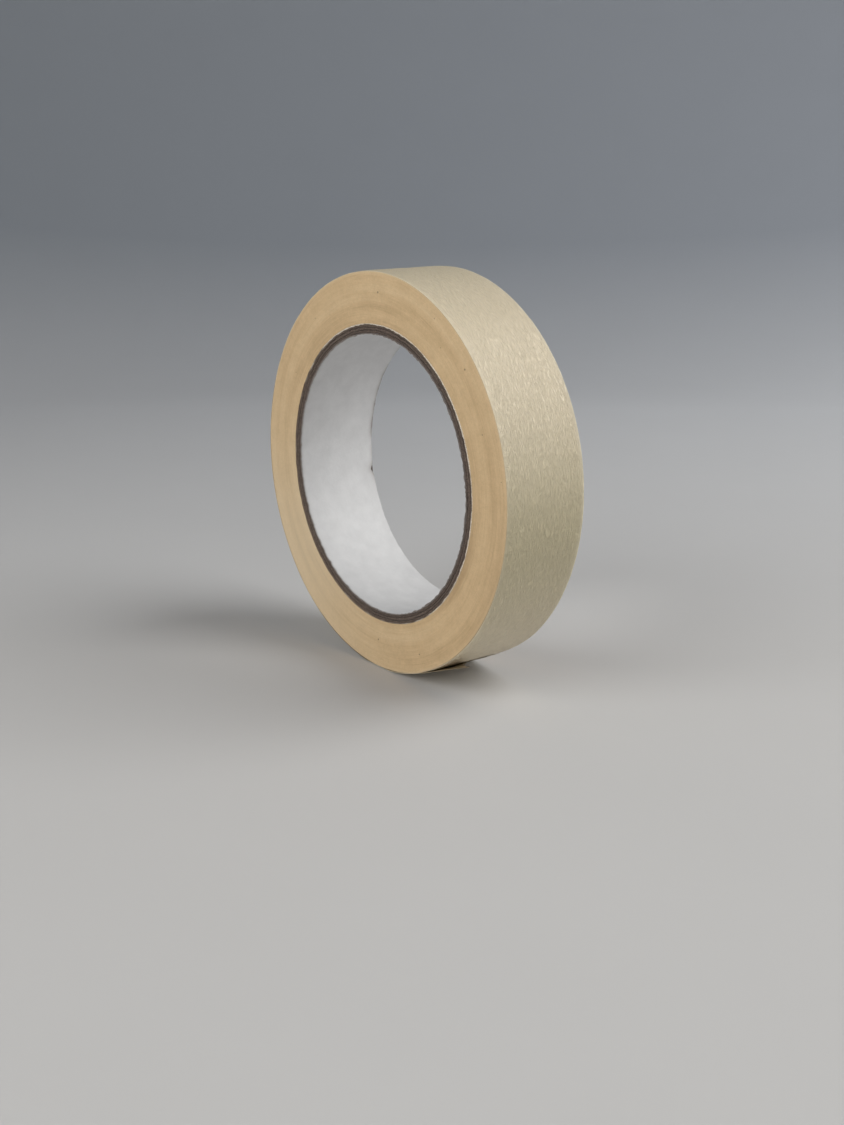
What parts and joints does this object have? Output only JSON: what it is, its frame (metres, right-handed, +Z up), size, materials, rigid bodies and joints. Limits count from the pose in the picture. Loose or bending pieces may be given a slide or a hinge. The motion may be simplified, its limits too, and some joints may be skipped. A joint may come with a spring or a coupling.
{
  "type": "masking tape roll",
  "caption": "Roll of crepe paper masking tape on a board core, with a loose last turn and a torn loose end that peels away from the rim.",
  "frame": {"origin": "centre of the core's bore at half the tape's width", "axes": "+Y along the roll's axis, +Z up with the roll standing on its rim, and the torn loose end leaves the rim low on the +X side"},
  "size_m": [0.1094, 0.0254, 0.1095],
  "materials": {
    "liner_paper": "matt white paper, faintly fibrous",
    "core_board": "matt grey-brown recycled board, layered at the cut edge",
    "wrap_paper": "matt pale paper, ragged at the cut edge",
    "wound_tape": "matt slit edge of many turns, with faint rings",
    "crepe_paper": "matt finely creped paper",
    "adhesive": "slightly glossy tacky film"
  },
  "bodies": {
    "roll": {"core_inner_liner": "liner_paper", "core_inner_ply": "core_board", "core_middle_ply": "core_board", "core_outer_ply": "core_board", "core_outer_wrap": "wrap_paper", "pressed_turns_of_tape": "wound_tape", "last_turn_adhesive": "adhesive", "last_turn_backing": "crepe_paper"},
    "loose_end": {"loose_end_adhesive": "adhesive", "loose_end_backing": "crepe_paper"}
  },
  "joints": [
    {"name": "loose_end_peel", "type": "hinge", "parent": "roll", "child": "loose_end", "pos_m": [0.02053, 0, -0.0508], "axis": [0, 1, 0], "range_deg": [0, 150], "stiffness_Nm_per_rad": 0.0003}
  ]
}
